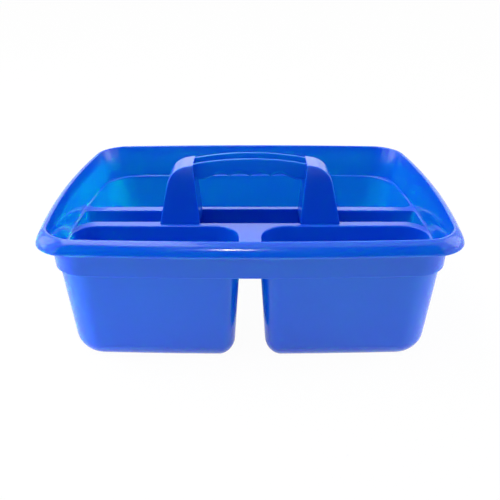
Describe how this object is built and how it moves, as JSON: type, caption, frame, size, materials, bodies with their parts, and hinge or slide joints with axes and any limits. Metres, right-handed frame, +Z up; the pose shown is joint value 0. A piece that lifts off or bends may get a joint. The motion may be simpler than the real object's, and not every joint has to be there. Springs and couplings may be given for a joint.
{
  "type": "tool storage caddy",
  "caption": "Moulded plastic carry caddy with open bins, a cross trough, a rolled rim and a central carry handle with finger grooves, for hobby tools and small supplies.",
  "frame": {"origin": "middle of the footprint, on the plane that the bins stand on", "axes": "+Z up, +X along the long side to the right as seen from the front, the front with the two small bins faces -Y"},
  "size_m": [0.38, 0.282, 0.16],
  "materials": {
    "blue_plastic": "moulded glossy polypropylene"
  },
  "bodies": {
    "root": {"tray": "blue_plastic", "carry_handle": "blue_plastic"}
  },
  "joints": []
}
